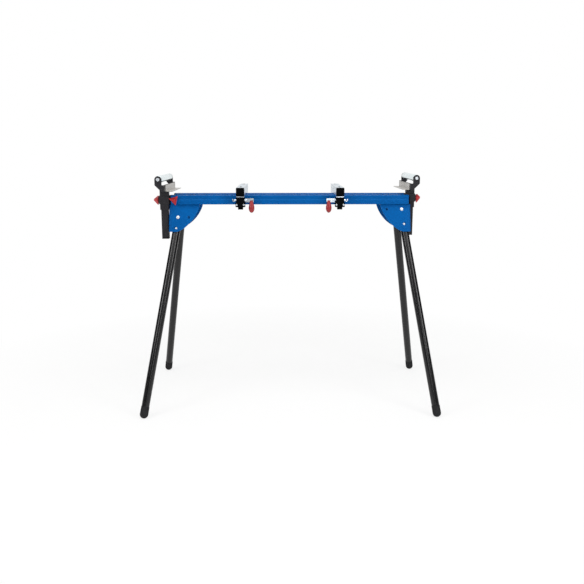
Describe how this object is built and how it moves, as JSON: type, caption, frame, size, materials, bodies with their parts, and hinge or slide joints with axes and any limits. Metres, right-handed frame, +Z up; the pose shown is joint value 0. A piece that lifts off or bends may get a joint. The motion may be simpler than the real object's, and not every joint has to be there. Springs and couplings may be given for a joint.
{
  "type": "folding machine stand",
  "caption": "Folding stand for a mitre saw: blue box rails on splayed black legs, sliding arms with height-adjustable rollers, and quick-clamp zinc tool rails.",
  "frame": {"origin": "floor level, midway between the four feet", "axes": "+X along the rails to the right, +Y to the back, +Z up"},
  "size_m": [1.1542, 0.6286, 0.9111],
  "materials": {
    "blue_paint": "gloss",
    "black_paint": "satin",
    "zinc": "zinc plated",
    "bright_tube": "polished",
    "black_plastic": "moulded",
    "red_plastic": "moulded",
    "rubber": "matte"
  },
  "bodies": {
    "stand": {"front_rail": "blue_paint", "rear_rail": "blue_paint", "left_bracket": "blue_paint", "right_bracket": "blue_paint", "front_rail_plug": "black_plastic", "rear_rail_plug": "black_plastic", "left_guide_bush": "black_plastic", "right_guide_bush": "black_plastic", "front_left_pivot_bolt": "zinc", "front_right_pivot_bolt": "zinc", "rear_left_pivot_bolt": "zinc", "rear_right_pivot_bolt": "zinc"},
    "left_arm": {"left_arm_tube": "black_paint", "left_arm_slider": "black_plastic", "left_sleeve": "black_paint", "left_post_bush": "black_plastic"},
    "left_head": {"left_post": "black_paint", "left_post_plug": "black_plastic", "left_head_frame": "black_paint", "left_stop_plate": "zinc", "left_axle": "zinc"},
    "left_roller_body": {"left_roller": "bright_tube"},
    "left_post_knob_body": {"left_post_knob": "red_plastic"},
    "left_arm_knob_body": {"left_arm_knob": "red_plastic"},
    "right_arm": {"right_arm_tube": "black_paint", "right_arm_slider": "black_plastic", "right_sleeve": "black_paint", "right_post_bush": "black_plastic"},
    "right_head": {"right_post": "black_paint", "right_post_plug": "black_plastic", "right_head_frame": "black_paint", "right_stop_plate": "zinc", "right_axle": "zinc"},
    "right_roller_body": {"right_roller": "bright_tube"},
    "right_post_knob_body": {"right_post_knob": "red_plastic"},
    "right_arm_knob_body": {"right_arm_knob": "red_plastic"},
    "left_clamp": {"left_tool_rail": "zinc", "left_front_cap": "black_plastic", "left_clamp_body": "black_plastic", "left_rear_hook": "zinc"},
    "left_lever_body": {"left_lever": "zinc", "left_handle": "red_plastic"},
    "right_clamp": {"right_tool_rail": "zinc", "right_front_cap": "black_plastic", "right_clamp_body": "black_plastic", "right_rear_hook": "zinc"},
    "right_lever_body": {"right_lever": "zinc", "right_handle": "red_plastic"},
    "front_left_leg_body": {"front_left_leg": "black_paint", "front_left_foot": "rubber"},
    "front_left_button_body": {"front_left_lock_button": "zinc"},
    "rear_right_leg_body": {"rear_right_leg": "black_paint", "rear_right_foot": "rubber"},
    "rear_right_button_body": {"rear_right_lock_button": "zinc"},
    "rear_left_leg_body": {"rear_left_leg": "black_paint", "rear_left_foot": "rubber"},
    "rear_left_button_body": {"rear_left_lock_button": "zinc"},
    "front_right_leg_body": {"front_right_leg": "black_paint", "front_right_foot": "rubber"},
    "front_right_button_body": {"front_right_lock_button": "zinc"}
  },
  "joints": [
    {"name": "left_arm_slide", "type": "slide", "parent": "stand", "child": "left_arm", "axis": [-1, 0, 0], "range_m": [0, 0.54]},
    {"name": "left_post_lift", "type": "slide", "parent": "left_arm", "child": "left_head", "axis": [0, 0, 1], "range_m": [0, 0.135]},
    {"name": "left_roller_spin", "type": "hinge", "parent": "left_head", "child": "left_roller_body", "pos_m": [-0.4926, -0.057, 0.8976], "axis": [0, 1, 0], "continuous": true},
    {"name": "left_post_knob_turn", "type": "hinge", "parent": "left_arm", "child": "left_post_knob_body", "pos_m": [-0.5136, -0.057, 0.814], "axis": [-1, 0, 0], "range_deg": [0, 360]},
    {"name": "left_arm_knob_turn", "type": "hinge", "parent": "stand", "child": "left_arm_knob_body", "pos_m": [-0.4525, -0.074, 0.814], "axis": [0, -1, 0], "range_deg": [0, 360]},
    {"name": "right_arm_slide", "type": "slide", "parent": "stand", "child": "right_arm", "axis": [1, 0, 0], "range_m": [0, 0.54]},
    {"name": "right_post_lift", "type": "slide", "parent": "right_arm", "child": "right_head", "axis": [0, 0, 1], "range_m": [0, 0.135]},
    {"name": "right_roller_spin", "type": "hinge", "parent": "right_head", "child": "right_roller_body", "pos_m": [0.4926, 0.057, 0.8976], "axis": [0, 1, 0], "continuous": true},
    {"name": "right_post_knob_turn", "type": "hinge", "parent": "right_arm", "child": "right_post_knob_body", "pos_m": [0.5136, 0.057, 0.814], "axis": [1, 0, 0], "range_deg": [0, 360]},
    {"name": "right_arm_knob_turn", "type": "hinge", "parent": "stand", "child": "right_arm_knob_body", "pos_m": [0.4525, 0.074, 0.814], "axis": [0, 1, 0], "range_deg": [0, 360]},
    {"name": "left_clamp_slide", "type": "slide", "parent": "stand", "child": "left_clamp", "axis": [1, 0, 0], "range_m": [-0.13, 0.12]},
    {"name": "left_lever_turn", "type": "hinge", "parent": "left_clamp", "child": "left_lever_body", "pos_m": [-0.193, -0.097, 0.814], "axis": [-1, 0, 0], "range_deg": [0, 100]},
    {"name": "right_clamp_slide", "type": "slide", "parent": "stand", "child": "right_clamp", "axis": [-1, 0, 0], "range_m": [-0.13, 0.12]},
    {"name": "right_lever_turn", "type": "hinge", "parent": "right_clamp", "child": "right_lever_body", "pos_m": [0.193, -0.097, 0.814], "axis": [-1, 0, 0], "range_deg": [0, 100]},
    {"name": "front_left_fold", "type": "hinge", "parent": "stand", "child": "front_left_leg_body", "pos_m": [-0.4397, -0.06282, 0.74087], "axis": [0, -0.9511, 0.309], "range_deg": [0, 99.06]},
    {"name": "front_left_press", "type": "slide", "parent": "front_left_leg_body", "child": "front_left_button_body", "axis": [0, -0.9511, 0.309], "range_m": [0, 0.0044], "stiffness_N_per_m": 300, "springref_m": 0.01},
    {"name": "rear_right_fold", "type": "hinge", "parent": "stand", "child": "rear_right_leg_body", "pos_m": [0.4397, 0.06282, 0.74087], "axis": [0, 0.9511, 0.309], "range_deg": [0, 99.06]},
    {"name": "rear_right_press", "type": "slide", "parent": "rear_right_leg_body", "child": "rear_right_button_body", "axis": [0, 0.9511, 0.309], "range_m": [0, 0.0044], "stiffness_N_per_m": 300, "springref_m": 0.01},
    {"name": "rear_left_fold", "type": "hinge", "parent": "stand", "child": "rear_left_leg_body", "pos_m": [-0.4397, 0.05304, 0.77097], "axis": [0, -0.9511, -0.309], "range_deg": [0, 98.71]},
    {"name": "rear_left_press", "type": "slide", "parent": "rear_left_leg_body", "child": "rear_left_button_body", "axis": [0, 0.9511, 0.309], "range_m": [0, 0.0044], "stiffness_N_per_m": 300, "springref_m": 0.01},
    {"name": "front_right_fold", "type": "hinge", "parent": "stand", "child": "front_right_leg_body", "pos_m": [0.4397, -0.05304, 0.77097], "axis": [0, 0.9511, -0.309], "range_deg": [0, 98.71]},
    {"name": "front_right_press", "type": "slide", "parent": "front_right_leg_body", "child": "front_right_button_body", "axis": [0, -0.9511, 0.309], "range_m": [0, 0.0044], "stiffness_N_per_m": 300, "springref_m": 0.01}
  ]
}
